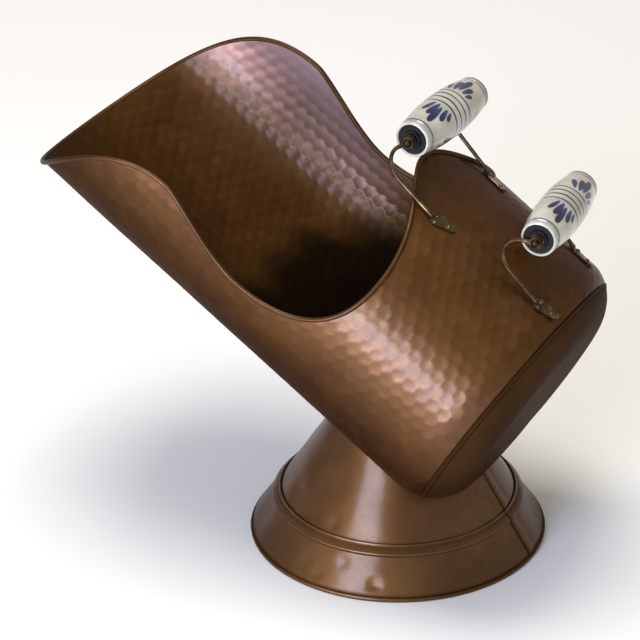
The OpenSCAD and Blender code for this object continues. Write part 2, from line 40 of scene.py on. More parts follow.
# the tube's own frame: x across, s ahead of the back seam, t above the axis, all in mm
tubeForm = {
    "halfWidth": 127.0,
    "halfHeight": 112.5,
    "sideShare": 0.6,      # how fast the side arcs tighten as the oval gets wider than high
    "rise": 33.9,          # degrees, the axis above level
    "seamBack": 103.8,     # back seam's centre behind the foot's centre
    "seamUp": 154.6,       # and above the floor
    "sheet": 1.2,
    "turnRadius": 42.0,    # radius that draws the tube in toward the pan
    "turnFrom": 21.0,      # where it starts, ahead of the seam
    "lean": 4.3,           # degrees, lower edge of the pan outward
}
halfW, halfH = tubeForm["halfWidth"], tubeForm["halfHeight"]
sideR = halfH - tubeForm["sideShare"] * (halfW - halfH)
sideC = halfW - sideR
flatR = (sideC ** 2 + halfH ** 2 - sideR ** 2) / (2 * (halfH - sideR))
flatC = flatR - halfH
flatTurn = math.atan2(sideC, flatC)
flatRun = flatR * flatTurn
quarter = flatRun + sideR * (math.pi / 2 - flatTurn)
girth = 4 * quarter
sheet, turnR, turnFrom = tubeForm["sheet"], tubeForm["turnRadius"], tubeForm["turnFrom"]
leanTan = math.tan(math.radians(tubeForm["lean"]))
riseCos = math.cos(math.radians(tubeForm["rise"]))
riseSin = math.sin(math.radians(tubeForm["rise"]))
seamTurn = math.asin(turnFrom / turnR)      # how far round the drawn-in end the seam lies
seamRow = turnFrom - turnR * seamTurn       # and its place on the sheet laid out flat


# turns the tube's frame by its rise and moves it to the seam's centre
def toWorld(x, s, t):
    return np.stack([x + 0 * s, tubeForm["seamBack"] - riseCos * s + riseSin * t,
                     tubeForm["seamUp"] + riseSin * s + riseCos * t], -1)


# walks the oval's girth from the crest: w folds into one quarter, a flat arc and then a side arc,
# and gives that arc's centre, its radius and the way out of the skin
def ovalAt(w):
    w = np.mod(w, girth)
    v = np.where(w <= girth / 2, w, girth - w)
    flipX = np.where(w <= girth / 2, 1.0, -1.0)
    flipT = np.where(v <= quarter, 1.0, -1.0)
    v = np.where(v <= quarter, v, 2 * quarter - v)
    onFlat = v <= flatRun
    turn = np.where(onFlat, v / flatR, flatTurn + (v - flatRun) / sideR)
    return (flipX * np.where(onFlat, 0, sideC), flipT * np.where(onFlat, -flatC, 0),
            np.where(onFlat, flatR, sideR), flipX * np.sin(turn), flipT * np.cos(turn))


# carries a section point, inset from the oval and s ahead of the seam, to place w of the girth,
# and leans it with the pan
def onOval(w, inset, s):
    cx, ct, radius, ox, ot = ovalAt(w)
    x, t = cx + (radius - inset) * ox, ct + (radius - inset) * ot
    return x, s + leanTan * t * np.maximum(0, turnFrom - s) / turnR, t


# a point under the skin: sigma runs straight along the tube, then round the drawn-in end
def skinPoint(w, sigma, depth):
    turn = np.maximum(0, turnFrom - sigma) / turnR
    inset = np.where(turn > 0, turnR - (turnR - depth) * np.cos(turn), depth)
    s = np.where(turn > 0, turnFrom - (turnR - depth) * np.sin(turn), sigma)
    x, s, t = onOval(w, inset, s)
    return toWorld(x, s, t)


# place on the girth, right side, of a height above the axis: the arc's angle times its radius
def girthAt(t):
    high = np.abs(t) + flatC >= flatR * math.cos(flatTurn)
    turn = np.where(high, np.arccos(np.clip((np.abs(t) + flatC) / flatR, -1, 1)),
                    np.arccos(np.clip(np.abs(t) / sideR, 0, 1)))
    w = np.where(high, turn * flatR, flatRun + (turn - flatTurn) * sideR)
    return np.where(t >= 0, w, 2 * quarter - w)


def smooth(a, b, v):    # 0 on a's side, 1 on b's side, an S curve between
    v = np.clip((v - a) / (b - a), 0, 1)
    return v * v * (3 - 2 * v)


# sRGB hex code to linear colour
def hexColour(code):
    part = [int(code[i:i + 2], 16) / 255 for i in (0, 2, 4)]
    return [c / 12.92 if c <= 0.04045 else ((c + 0.055) / 1.055) ** 2.4 for c in part] + [1.0]


def scaleOf(size):    # a pattern's scale from its real size in mm
    return 1000 / size


# adds one shader node with its settings and links: an input takes a value or another node's output,
# a colour ramp its stops as place and hex code or grey, and the output asked for is given back
def addNode(tree, kind, inputs, out=0, stops=(), **settings):
    made = tree.nodes.new(kind)
    for name, value in settings.items():
        setattr(made, name, value)
    for key, value in inputs.items():
        if isinstance(value, bpy.types.NodeSocket):
            tree.links.new(value, made.inputs[key])
        else:
            made.inputs[key].default_value = value
    for extra in stops[2:]:    # a new ramp has two stops
        made.color_ramp.elements.new(0.5)
    for spot, (place, value) in zip(made.color_ramp.elements if stops else [], stops):
        spot.position = place
        spot.color = hexColour(value) if isinstance(value, str) else [value, value, value, 1]
    return made.outputs[out] if made.outputs else None


# an empty material and its node tree
def newMaterial(name):
    made = bpy.data.materials.new(name)
    made.use_nodes = True
    made.node_tree.nodes.clear()
    return made, made.node_tree


# beaten copper sheet, browned by years of handling and waxed: a dark metal that stays brown under
# a white sky, with painted shade on the ridges between its cups and blows of slightly different tone.
# Painted shade, toward the bottom and deep inside, turns it matt black and takes its wax away, and
# the painted highlight is pale, lilac, smoother, less metallic and hazy. The marks cup, tone, painted
# shade and painted highlight lie on the mesh. A Mix node takes its share at 0 and its colours at 6
# and 7, and gives the colour at 2.
def hammeredCopper():
    made, tree = newMaterial("Hammered copper, browned and waxed")
    where = addNode(tree, "ShaderNodeTexCoord", {}, "Object")
    cup, tone, paintedShade, paintedHighlight = (addNode(tree, "ShaderNodeAttribute", {}, "Fac", attribute_name=mark)
                               for mark in ("cup", "tone", "paintedShade", "paintedHighlight"))
    cloud = addNode(tree, "ShaderNodeTexNoise", {"Vector": where, "Scale": scaleOf(110), "Detail": 5,
                    "Roughness": 0.6, "Distortion": 0.4}, "Fac")
    fine = addNode(tree, "ShaderNodeTexNoise", {"Vector": where, "Scale": scaleOf(8), "Detail": 5,
                   "Roughness": 0.65}, "Fac")
    worn = addNode(tree, "ShaderNodeMath", {0: tone, 1: 0.22}, operation="MULTIPLY")
    # painted shade: the ridges between the cups are mixed toward dark brown
    ridgeShade = addNode(tree, "ShaderNodeValToRGB", {"Fac": cup}, stops=[(0, 0.3), (0.3, 0.06), (1, 0)])
    specks = addNode(tree, "ShaderNodeValToRGB", {"Fac": fine}, stops=[(0.38, 0), (0.66, 0.3)])
    body = addNode(tree, "ShaderNodeValToRGB", {"Fac": cloud},
                   stops=[(0.3, "4A2E10"), (0.5, "5C3A15"), (0.7, "6A471D")])
    # the painted highlight mixes in pale lilac, the painted shade near black
    for share, colour in ((worn, "7E5932"), (ridgeShade, "3E2614"), (specks, "4A2C14"),
                          (paintedHighlight, "D6B4B8"), (paintedShade, "070504")):
        body = addNode(tree, "ShaderNodeMix", {0: share, 6: body, 7: hexColour(colour)}, 2,
                       data_type="RGBA")
    wax = addNode(tree, "ShaderNodeValToRGB", {"Fac": paintedShade},
                  stops=[(0, 0.3), (0.4, 0.05), (0.9, 0.01)])
    bare = addNode(tree, "ShaderNodeValToRGB", {"Fac": paintedHighlight}, stops=[(0, 0.82), (0.75, 0.42)])
    rough = addNode(tree, "ShaderNodeValToRGB", {"Fac": fine}, stops=[(0.3, 0.4), (0.7, 0.52)])
    for mark, more in ((paintedShade, 0.2), (paintedHighlight, -0.2)):
        rough = addNode(tree, "ShaderNodeMath", {0: mark, 1: more, 2: rough},
                        operation="MULTIPLY_ADD")
    # polishing grain, drawn at 1.8 mm, coarser than life, so that it shows
    grain = addNode(tree, "ShaderNodeTexNoise", {"Vector": where, "Scale": scaleOf(1.8), "Detail": 3,
                    "Roughness": 0.6}, "Fac")
    bump = addNode(tree, "ShaderNodeBump", {"Strength": 0.16, "Distance": 0.0002, "Height": grain})
    metal = addNode(tree, "ShaderNodeBsdfPrincipled", {"Base Color": body, "Metallic": bare,
                    "Roughness": rough, "Specular Tint": hexColour("8A6A50"),
                    "Coat Weight": wax, "Coat Roughness": 0.18, "Normal": bump})
    addNode(tree, "ShaderNodeOutputMaterial", {"Surface": metal})
    return made


# planished copper sheet, browned and waxed the same way: soft satin light with slow dents in it,
# dull and olive brown where the grime-and-shade mark is high; that mark is real grime and tarnish in
# places, and painted shade under the tube on the foot and inside the dished back
def smoothCopper():
    made, tree = newMaterial("Planished copper, browned and waxed")
    where = addNode(tree, "ShaderNodeTexCoord", {}, "Object")
    grimeAndShade = addNode(tree, "ShaderNodeAttribute", {}, "Fac", attribute_name="grimeAndShade")
    cloud = addNode(tree, "ShaderNodeTexNoise", {"Vector": where, "Scale": scaleOf(80), "Detail": 5,
                    "Roughness": 0.6, "Distortion": 0.5}, "Fac")
    fine = addNode(tree, "ShaderNodeTexNoise", {"Vector": where, "Scale": scaleOf(6), "Detail": 5,
                   "Roughness": 0.7}, "Fac")
    specks = addNode(tree, "ShaderNodeValToRGB", {"Fac": fine}, stops=[(0.4, 0), (0.68, 0.3)])
    body = addNode(tree, "ShaderNodeValToRGB", {"Fac": cloud},
                   stops=[(0.3, "4E3216"), (0.5, "60401F"), (0.7, "6E4C2B")])
    for share, colour in ((specks, "452B14"), (grimeAndShade, "241C0E")):
        body = addNode(tree, "ShaderNodeMix", {0: share, 6: body, 7: hexColour(colour)}, 2,
                       data_type="RGBA")
    wax = addNode(tree, "ShaderNodeValToRGB", {"Fac": grimeAndShade},
                  stops=[(0, 0.55), (0.35, 0.06), (0.9, 0.01)])
    rough = addNode(tree, "ShaderNodeValToRGB", {"Fac": fine}, stops=[(0.3, 0.38), (0.7, 0.5)])
    rough = addNode(tree, "ShaderNodeMath", {0: grimeAndShade, 1: 0.25, 2: rough}, operation="MULTIPLY_ADD")
    waves = addNode(tree, "ShaderNodeTexNoise", {"Vector": where, "Scale": scaleOf(40), "Detail": 2,
                    "Roughness": 0.4}, "Fac")
    dented = addNode(tree, "ShaderNodeBump", {"Strength": 0.25, "Distance": 0.001, "Height": waves})
    # polishing grain, drawn at 2 mm, coarser than life, so that it shows
    grain = addNode(tree, "ShaderNodeTexNoise", {"Vector": where, "Scale": scaleOf(2), "Detail": 3,
                    "Roughness": 0.6}, "Fac")
    bump = addNode(tree, "ShaderNodeBump", {"Strength": 0.16, "Distance": 0.0002, "Height": grain,
                   "Normal": dented})
    metal = addNode(tree, "ShaderNodeBsdfPrincipled", {"Base Color": body, "Metallic": 0.85,
                    "Roughness": rough, "Specular Tint": hexColour("7A5A42"),
                    "Coat Weight": wax, "Coat Roughness": 0.2, "Normal": bump})
    addNode(tree, "ShaderNodeOutputMaterial", {"Surface": metal})
    return made


# drawn brass wire, hammered at its ends and gone dull: brown, with greenish gold where it is rubbed
def agedBrass():
    made, tree = newMaterial("Aged brass")
    where = addNode(tree, "ShaderNodeTexCoord", {}, "Object")
    patch = addNode(tree, "ShaderNodeTexNoise", {"Vector": where, "Scale": scaleOf(8), "Detail": 4,
                    "Roughness": 0.6}, "Fac")
    fine = addNode(tree, "ShaderNodeTexNoise", {"Vector": where, "Scale": scaleOf(1.5), "Detail": 3,
                   "Roughness": 0.6}, "Fac")
    body = addNode(tree, "ShaderNodeValToRGB", {"Fac": patch},
                   stops=[(0.35, "3A2B19"), (0.55, "5C482A"), (0.72, "8E7748")])
    rough = addNode(tree, "ShaderNodeValToRGB", {"Fac": patch}, stops=[(0.3, 0.48), (0.7, 0.26)])
    bump = addNode(tree, "ShaderNodeBump", {"Strength": 0.3, "Distance": 0.0002, "Height": fine})
    metal = addNode(tree, "ShaderNodeBsdfPrincipled", {"Base Color": body, "Metallic": 0.85,
                    "Roughness": rough, "Coat Weight": 0.3, "Coat Roughness": 0.25, "Normal": bump})
    addNode(tree, "ShaderNodeOutputMaterial", {"Surface": metal})
    return made


# the same drawn brass where oil and soot have blackened it, with a little gold left in patches
def blackenedBrass():
    made, tree = newMaterial("Blackened brass")
    where = addNode(tree, "ShaderNodeTexCoord", {}, "Object")
    patch = addNode(tree, "ShaderNodeTexNoise", {"Vector": where, "Scale": scaleOf(5), "Detail": 4,
                    "Roughness": 0.6}, "Fac")
    body = addNode(tree, "ShaderNodeValToRGB", {"Fac": patch},
                   stops=[(0.35, "181109"), (0.6, "362A19"), (0.75, "6E5831")])
    rough = addNode(tree, "ShaderNodeValToRGB", {"Fac": patch}, stops=[(0.3, 0.5), (0.7, 0.3)])
    bump = addNode(tree, "ShaderNodeBump", {"Strength": 0.25, "Distance": 0.0002, "Height": patch})
    metal = addNode(tree, "ShaderNodeBsdfPrincipled", {"Base Color": body, "Metallic": 0.9,
                    "Roughness": rough, "Normal": bump})
    addNode(tree, "ShaderNodeOutputMaterial", {"Surface": metal})
    return made


# turned porcelain, greyish white with faint stains, under a clear glossy glaze; cobalt brushed on
# below the glaze is dark blue, and nearly black where the mark wash says that it lies thick
def glazedPorcelain():
    made, tree = newMaterial("Glazed porcelain with cobalt painting")
    where = addNode(tree, "ShaderNodeTexCoord", {}, "Object")
    paint, thick = (addNode(tree, "ShaderNodeAttribute", {}, "Fac", attribute_name=mark)
                    for mark in ("cobalt", "wash"))
    stain = addNode(tree, "ShaderNodeTexNoise", {"Vector": where, "Scale": scaleOf(22), "Detail": 4,
                    "Roughness": 0.6}, "Fac")
    clay = addNode(tree, "ShaderNodeValToRGB", {"Fac": stain},
                   stops=[(0.35, "A9A594"), (0.6, "C2BFB2")])
    blue = addNode(tree, "ShaderNodeMix", {0: thick, 6: hexColour("2C3A78"), 7: hexColour("090D33")},
                   2, data_type="RGBA")
    body = addNode(tree, "ShaderNodeMix", {0: paint, 6: clay, 7: blue}, 2, data_type="RGBA")
    crawl = addNode(tree, "ShaderNodeTexNoise", {"Vector": where, "Scale": scaleOf(6), "Detail": 2,
                    "Roughness": 0.5}, "Fac")
    bump = addNode(tree, "ShaderNodeBump", {"Strength": 0.1, "Distance": 0.0003, "Height": crawl})
    glaze = addNode(tree, "ShaderNodeBsdfPrincipled", {"Base Color": body, "Roughness": 0.14,
                    "IOR": 1.5, "Coat Weight": 0.6, "Coat Roughness": 0.06, "Normal": bump})
    addNode(tree, "ShaderNodeOutputMaterial", {"Surface": glaze})
    return made


# moulded black plug: matt, with grey dust caught in it
def blackPlug():
    made, tree = newMaterial("Black moulded plug")
    where = addNode(tree, "ShaderNodeTexCoord", {}, "Object")
    dust = addNode(tree, "ShaderNodeTexNoise", {"Vector": where, "Scale": scaleOf(4), "Detail": 4,
                   "Roughness": 0.65}, "Fac")
    body = addNode(tree, "ShaderNodeValToRGB", {"Fac": dust},
                   stops=[(0.4, "0B0B0D"), (0.75, "1F1D1C")])
    rough = addNode(tree, "ShaderNodeValToRGB", {"Fac": dust}, stops=[(0.3, 0.42), (0.7, 0.62)])
    bump = addNode(tree, "ShaderNodeBump", {"Strength": 0.25, "Distance": 0.0002, "Height": dust})
    matt = addNode(tree, "ShaderNodeBsdfPrincipled", {"Base Color": body, "Roughness": rough,
                   "Specular IOR Level": 0.16, "Normal": bump})
    addNode(tree, "ShaderNodeOutputMaterial", {"Surface": matt})
    return made


copper, plainCopper, brass = hammeredCopper(), smoothCopper(), agedBrass()
porcelain, plugBlack, darkBrass = glazedPorcelain(), blackPlug(), blackenedBrass()
print("materials made")


# makes a piece from a grid of rings in mm: rows follow each other, columns close round, and the
# rows either close on themselves or start and end at one point
def ringPiece(name, rings, material, body, stands, marks, closed=True, sharp=50):
    rows, cols = rings.shape[:2]
    index = np.arange(rows * cols).reshape(rows, cols)
    points = rings.reshape(-1, 3)
    fans = np.zeros((0, 3), int)    # triangles round the two end points
    if closed:
        keep = index.ravel()
        low, high = index, np.roll(index, -1, 0)
    else:
        keep = np.r_[0, index[1:-1].ravel(), index[-1, 0]]
        low, high = index[1:-2], index[2:-1]
        first, last = index[1], index[-2]
        fans = np.r_[np.c_[np.full(cols, 0), np.roll(first, -1), first],
                     np.c_[last, np.roll(last, -1), np.full(cols, index[-1, 0])]]
    fresh = np.zeros(rows * cols, int)
    fresh[keep] = np.arange(len(keep))
    quads = np.stack([low, np.roll(low, -1, 1), np.roll(high, -1, 1), high], -1).reshape(-1, 4)
    quads, fans, points = fresh[quads], fresh[fans], points[keep]
    tris = np.r_[quads[:, [0, 1, 2]], quads[:, [0, 2, 3]], fans]
    a, b, c = (points[tris[:, i]] - points[0] for i in range(3))
    if np.einsum("ij,ij->", a, np.cross(b, c)) < 0:    # the volume is negative: turn the faces out
        quads, fans = quads[:, ::-1], fans[:, ::-1]
    mesh = bpy.data.meshes.new(name)
    mesh.vertices.add(len(points))
    mesh.vertices.foreach_set("co", (points / 1000).astype(np.float32).ravel())
    corners = np.r_[quads.ravel(), fans.ravel()]
    starts = np.r_[np.arange(len(quads)) * 4, len(quads) * 4 + np.arange(len(fans)) * 3]
    mesh.loops.add(len(corners))
    mesh.loops.foreach_set("vertex_index", corners.astype(np.int32))
    mesh.polygons.add(len(starts))
    mesh.polygons.foreach_set("loop_start", starts.astype(np.int32))
    mesh.polygons.foreach_set("use_smooth", np.ones(len(starts), bool))
    mesh.update(calc_edges=True)
    mesh.set_sharp_from_angle(angle=math.radians(sharp))
    for label, values in marks.items():
        values = np.broadcast_to(values, (rows, cols)).ravel()[keep]
        layer = mesh.attributes.new(label, "FLOAT", "POINT")
        layer.data.foreach_set("value", values.astype(np.float32))
    mesh.materials.append(material)
    piece = bpy.data.objects.new(name, mesh)
    bpy.context.scene.collection.objects.link(piece)
    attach(piece, body)
    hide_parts(*stands)
    print("made", name, len(mesh.polygons), "faces")
    return piece


mouthForm = {
    "crest": (173.5, 112.5),      # s and t of the edge's turning points, mm
    "throat": (128.0, 62.8),
    "dip": (214.0, -8.3),
    "shoulder": (302.6, 16.0),
    "tip": (413.7, -112.5),
    "crestLean": 13.2,            # degrees that the edge falls going back from the crest
    "tipLean": 18.3,              # and leans ahead of straight down at the tip
    # mm that each of the four curves keeps its way after its start and before its end
    "pulls": ((33.6, 25.7), (41.2, 49.0), (30.2, 12.1), (65.7, 62.8)),
    "steps": 399,                 # points on each curve
    "wireRadius": 2.0,
    "uneven": 0.025,              # share of the radius by which the bead varies
    "tuckAt": 2.5,                # radians round the bead, where the sheet's edge is tucked in
    "tuckWide": 0.3,
    "tuckDeep": 0.35,             # mm
    "grimeAndShade": (0.65, 0.22),        # in the tuck and elsewhere
    "columns": 1180,
    "sides": 18,
}


# the mouth's edge from the side: four cubic curves joined smoothly, right half from the crest down,
# then laid out as girth against distance ahead, and the left half mirrored from it
def mouthLine():
    f = mouthForm
    spots = [np.array(f[name]) for name in ("crest", "throat", "dip", "shoulder", "tip")]
    crestLean, tipLean = math.radians(f["crestLean"]), math.radians(f["tipLean"])
    ways = np.array([(-math.cos(crestLean), -math.sin(crestLean)), (0, -1), (1, 0), (1, 0),
                     (math.sin(tipLean), -math.cos(tipLean))])
    u = np.linspace(0, 1, f["steps"] + 1)[:-1, None]
    u = (1 - np.cos(math.pi * u)) / 2
    line = []
    for leg, (after, before) in enumerate(f["pulls"]):
        a, d = spots[leg], spots[leg + 1]
        b, c = a + after * ways[leg], d - before * ways[leg + 1]
        line.append((1 - u) ** 3 * a + 3 * u * (1 - u) ** 2 * b + 3 * u * u * (1 - u) * c + u ** 3 * d)
    line = np.r_[np.concatenate(line), [spots[-1]]]
    flat = np.c_[girthAt(line[:, 1]), line[:, 0]]
    flat[0, 0], flat[-1, 0] = 0, girth / 2
    return flat


edgeFlat = mouthLine()
edgeRun = np.r_[0, np.cumsum(np.hypot(*np.diff(edgeFlat, axis=0).T))]
halfEdge = edgeRun[-1]


# spot on the whole edge, run mm round it from the crest, as girth and distance ahead
def edgeAt(run):
    run = np.mod(run, 2 * halfEdge)
    back = run > halfEdge
    near = np.where(back, 2 * halfEdge - run, run)
    w, s = np.interp(near, edgeRun, edgeFlat[:, 0]), np.interp(near, edgeRun, edgeFlat[:, 1])
    return np.where(back, girth - w, w), s


# way along the edge in the laid-out sheet, from the spots just before and after
def edgeWay(run):
    near = 0.8    # mm
    w0, s0 = edgeAt(run - near)
    w1, s1 = edgeAt(run + near)
    dw = np.mod(w1 - w0 + girth / 2, girth) - girth / 2
    size = np.hypot(dw, s1 - s0)
    return dw / size, (s1 - s0) / size


hammerForm = {
    "rows": 76,           # rows of blows round the girth, an even number
    "columns": 64,        # blows along a row before their strays repeat
    "firstColumn": 8,     # the column of strays that lies at the seam
    "pitch": 11.6,        # mm between blows along a row
    "stray": 0.07,        # how far a blow strays, in blow widths
    "force": 2.5,         # mm2, how much deeper or shallower a blow is than a full one
    "faceRadius": 62.0,   # mm, the hammer's domed face
    "depth": 0.34,        # mm, depth of a full blow
    "deepest": 1.2,       # depth of the hardest blow, in full blows
    "soften": 2.4,        # mm2, how much the ridges are rounded
    "lost": 60.0,         # mm2 from every blow, past which there is nothing to round
    "seed": 5,
}


# depth of the hammer's cups: every blow is a shallow dish round a spot of a slightly strayed
# honeycomb, the deepest dish wins, and neighbours meet in a rounded ridge
def hammerMarks(w, sigma):
    f = hammerForm
    rows, gap, pitch = f["rows"], girth / f["rows"], f["pitch"]
    strays = np.random.default_rng(f["seed"]).uniform(-1, 1, (rows, f["columns"], 4))
    row = np.floor(w / gap).astype(int)
    total, best, tone = 0, np.full(w.shape, 1e9), np.zeros(w.shape)
    for rowStep in (-1, 0, 1, 2):
        r = row + rowStep
        shift = 0.5 * np.mod(r, 2)
        column = np.floor(sigma / pitch - shift).astype(int)
        for columnStep in (-1, 0, 1, 2):
            k = column + columnStep
            own = strays[np.mod(r, rows), np.mod(k + f["firstColumn"], f["columns"])]
            dw = (r + f["stray"] * own[..., 0]) * gap - w
            ds = (k + shift + f["stray"] * own[..., 1]) * pitch - sigma
            far = dw * dw + ds * ds + f["force"] * own[..., 2]
            total = total + np.exp(-far / f["soften"])
            tone = np.where(far < best, 0.5 + 0.5 * own[..., 3], tone)
            best = np.minimum(best, far)
    far = np.where(best > f["lost"], best, -f["soften"] * np.log(np.maximum(total, 1e-30)))
    cup = np.clip(1 - far / (2 * f["faceRadius"] * f["depth"]), 0, f["deepest"])
    return f["depth"] * cup, cup, tone


waveForm = {
    "middle": 0.32,       # mm under the true skin
    "swing": 0.09,
    # turns round the girth, mm along the tube for a radian, phase, share
    "waves": [(3, 31, 0, 1), (5, -23, 1.3, 1), (8, 17, 4.0, 0.7), (2, -44, 0, 0.7)],
}


# slow unevenness of hand-worked sheet: the sum of a few long sine waves
def wander(w, sigma):
    turn = 2 * math.pi * w / girth
    total = sum(share * np.sin(turns * turn + sigma / length + phase)
                for turns, length, phase, share in waveForm["waves"])
    return waveForm["middle"] + waveForm["swing"] * total


tubeGrid = {
    "columns": 520,
    "faceRows": 154,
    "hiddenRows": 24,
    "baseSpots": (0, 125, 215, 290),   # girth at the seam under crest, throat, dip and shoulder
    "seamGap": 0.2,                    # mm past the seam where the columns start
    "edgeGap": 1.2,                    # mm from the mouth's line where they end, inside the bead
    "pull": (0.9, 0.8),                # how far they keep their way at either end, in their length
}


# lays columns over the flat sheet: each starts square to the seam and ends square to the mouth's
# edge, on a cubic between the two
def sheetColumns(rows):
    f = tubeGrid
    run = 2 * halfEdge * np.arange(f["columns"]) / f["columns"]
    edgeW, edgeS = edgeAt(run)
    dw, ds = edgeWay(run)
    near = np.where(run > halfEdge, 2 * halfEdge - run, run)
    cornerRun = [edgeRun[mouthForm["steps"] * leg] for leg in range(4)] + [halfEdge]
    base = np.interp(near, cornerRun, list(f["baseSpots"]) + [girth / 2])
    base = np.where(run > halfEdge, girth - base, base)
    reach = np.hypot(edgeW - base, edgeS - seamRow)
    seamPull, edgePull = f["pull"]
    u = np.linspace(0, 1, rows)[:, None]
    start, leave = 2 * u ** 3 - 3 * u ** 2 + 1, u ** 3 - 2 * u ** 2 + u
    stop, arrive = 3 * u ** 2 - 2 * u ** 3, u ** 3 - u ** 2
    endW, endS = edgeW + ds * f["edgeGap"], edgeS - dw * f["edgeGap"]
    w = start * base + stop * endW - arrive * ds * edgePull * reach
    sigma = (start * (seamRow - f["seamGap"]) + leave * seamPull * reach + stop * endS
             + arrive * dw * edgePull * reach)
    return w, sigma


# where painted shade and the painted highlight lie, in mm: along the tube from the seam, and round it
# from the lowest line or, where it says above, from the widest line
innerPaintedLight = {
    "shadeReach": 262.0,           # the front of the painted black shade on the floor of the tube
    "shadeDrop": 130.0,            # how much nearer the seam it is up the sides
    "dropSpan": (60, 230),        # the way round in which it drops
    "ragged": 9.0,
    "shadeSpan": (-10, 62),        # depth behind the front in which the soot thickens
    "paintedShade": 0.93,
    "deepSpan": (40, 140),        # and further in
    "deepSoot": 0.05,
    # painted shade: the stain share darkens the inside toward the floor of the tube, below the widest
    # line
    "lowShadeSpan": (-40, -100),     # above
    "stain": 0.45,
    # painted highlight: a pale lilac band up the wall, standing in for reflected light, also smoother and
    # less metallic
    "highlightAt": 38.0,             # above
    "highlightWide": 56.0,
    "highlightStrength": 0.9,
    "highlightSpan": (140, 290),     # along
}
outerPaintedLight = {
    # painted shade: the stain share darkens the outside toward the bottom
    "lowShadeSpan": (15, -60),
    "stain": 0.5,
    # a faint painted highlight along the band that catches the light
    "highlightAt": 34.0,
    "highlightWide": 36.0,
    "highlightStrength": 0.035,
}


# painted shade and painted highlight at a place of the sheet: the deep painted shade is an S curve behind
# a ragged front that drops with the way round, the lower painted shade one that grows downward, and the
# painted highlight a bell along the line it lies on
def paintedLightAt(f, w, sigma):
    low = np.abs(np.mod(w, girth) - girth / 2)
    above = low - quarter
    paintedShade = f["stain"] * smooth(*f["lowShadeSpan"], above)
    paintedHighlight = f["highlightStrength"] * np.exp(-((above - f["highlightAt"]) / f["highlightWide"]) ** 2)
    if "paintedShade" in f:
        front = f["shadeReach"] - f["shadeDrop"] * smooth(*f["dropSpan"], low)
        behind = front + f["ragged"] * np.sin(w / 23) * np.sin(w / 9 + 1) - sigma
        paintedShade = np.maximum(paintedShade, f["paintedShade"] * smooth(*f["shadeSpan"], behind)
                          + f["deepSoot"] * smooth(*f["deepSpan"], behind))
        paintedHighlight = paintedHighlight * smooth(*f["highlightSpan"], sigma)
    return paintedShade, paintedHighlight


# one face of the beaten sheet as a closed skin: the dimpled face from the seam to the mouth, then
# back through the middle of the sheet
def tubeFace(name, faceDepth, hiddenDepth, paintedLight):
    w, sigma = sheetColumns(tubeGrid["faceRows"])
    depth, cup, tone = hammerMarks(w, sigma)
    face = skinPoint(w, sigma, faceDepth + depth + wander(w, sigma))
    hiddenW, hiddenSigma = sheetColumns(tubeGrid["hiddenRows"])
    hidden = skinPoint(hiddenW, hiddenSigma, hiddenDepth + wander(hiddenW, hiddenSigma))[::-1]
    # painted shade and painted highlight on the sheet
    paintedShade, paintedHighlight = paintedLightAt(paintedLight, w, sigma)
    marks = {label: np.concatenate([values, np.zeros(hiddenW.shape)]) for label, values in
             (("cup", cup), ("tone", tone), ("paintedShade", paintedShade), ("paintedHighlight", paintedHighlight))}
    return ringPiece(name, np.concatenate([face, hidden]), copper, "hod",
                     ["body_shell"], marks)


tubeFace("tube_outer_face", 0.0, 0.55, outerPaintedLight)
tubeFace("tube_inner_face", sheet, 0.75, innerPaintedLight)


# the mouth's wired edge: a round bead carried along the edge, a little thinner where the sheet's
# own edge was tucked in behind it
def mouthBead():
    f = mouthForm
    run = 2 * halfEdge * np.arange(f["columns"]) / f["columns"]
    w, s = edgeAt(run)
    middle = skinPoint(w, s, 0 * w)
    out = skinPoint(w, s, 0 * w - 1) - middle
    along = np.roll(middle, -1, 0) - np.roll(middle, 1, 0)
    along /= np.linalg.norm(along, axis=1)[:, None]
    ahead = np.cross(along, out)
    ahead /= np.linalg.norm(ahead, axis=1)[:, None]
    turn = 2 * math.pi * np.arange(f["sides"]) / f["sides"]
    uneven = f["uneven"] * (np.sin(run / 13)[:, None] * np.cos(turn * 2 + 1) - 1)
    fromTuck = np.mod(turn - f["tuckAt"] + math.pi, 2 * math.pi) - math.pi
    tuck = np.exp(-(fromTuck / f["tuckWide"]) ** 2)
    size = f["wireRadius"] * (1 + uneven) - f["tuckDeep"] * tuck
    rings = (middle[:, None] + size[..., None] * (np.cos(turn)[:, None] * out[:, None]
                                                  + np.sin(turn)[:, None] * ahead[:, None]))
    grimeAndShade = np.maximum(f["grimeAndShade"][0] * tuck, f["grimeAndShade"][1]) + 0 * run[:, None]
    return ringPiece("mouth_bead", rings, plainCopper, "hod", ["rim_wire"],
                     {"grimeAndShade": grimeAndShade}, sharp=60)


mouthBead()

panForm = {
    "columns": 300,
    "seamAt": -0.1,       # front of the fold, ahead of the seam
    "foldWide": 3.2,
    "foldHigh": 0.7,
    "spigot": 8.0,        # how far the pan reaches into the tube
    "fit": 0.2,           # room between the two
    "wave": 0.18,         # slow unevenness
    "dentFrom": -4.0,     # dents and waves lie behind this, so that the fold stays true
    # dents as girth fraction, distance from the middle, width mm, depth mm
    "dents": [(0.36, 0.8, 16, 0.5), (0.55, 0.62, 12, 0.4), (0.2, 0.7, 14, 0.35), (0.8, 0.8, 18, 0.5),
              (0.44, 1.15, 9, 0.4), (0.62, 1.1, 10, 0.35), (0.1, 0.4, 22, 0.4)],
    "dentSpan": 0.6,      # the distance 1, as a share of the oval's half sizes
    "grimeAndShade": 0.52,        # over the back, in the corner under the fold, in the seam, and painted shade inside
    "cornerGrime": 0.8,
    "seamGrime": 0.9,
    "insideShade": 0.97,
}


# how far the round turn has come in from the oval at s
def insetAt(s):
    return turnR - math.sqrt(turnR ** 2 - (turnFrom - s) ** 2)


# a stretch of the turn's arc as section points: share from the middle, inset, distance ahead
def turned(radius, start, stop, count):
    return [(1, turnR - radius * math.cos(v), turnFrom - radius * math.sin(v))
            for v in np.linspace(start, stop, count)]


